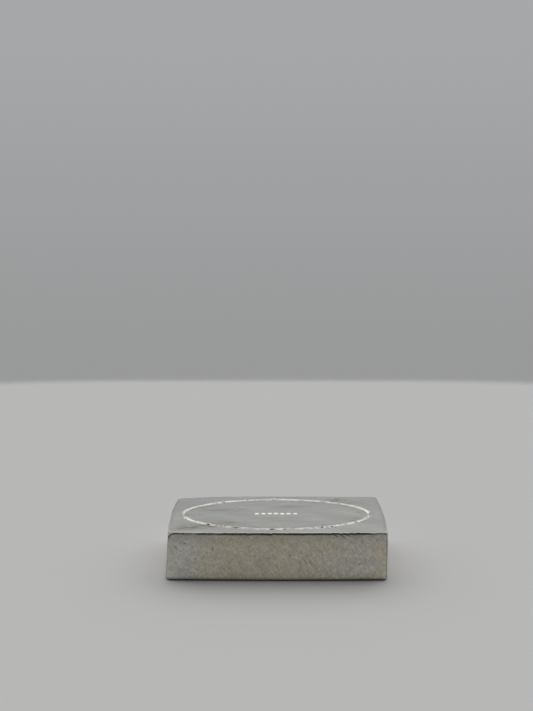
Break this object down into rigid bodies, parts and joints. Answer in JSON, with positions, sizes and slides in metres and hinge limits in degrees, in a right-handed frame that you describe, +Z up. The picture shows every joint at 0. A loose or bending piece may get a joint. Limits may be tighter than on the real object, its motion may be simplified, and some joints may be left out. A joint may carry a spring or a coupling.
{
  "type": "metal ingot",
  "caption": "Small cast silver bar: a bellied block with soft edges, a plain struck oval line and a short row of punch dots on top. Raw stock for storing, stacking or melting.",
  "frame": {"origin": "middle of the resting face, on the surface that the bar lies on", "axes": "+X along the bar, +Y across it towards its back, +Z up out of the struck face"},
  "size_m": [0.0442, 0.0224, 0.0099],
  "materials": {
    "silver": "satin"
  },
  "bodies": {
    "root": {"ingot": "silver"}
  },
  "joints": []
}
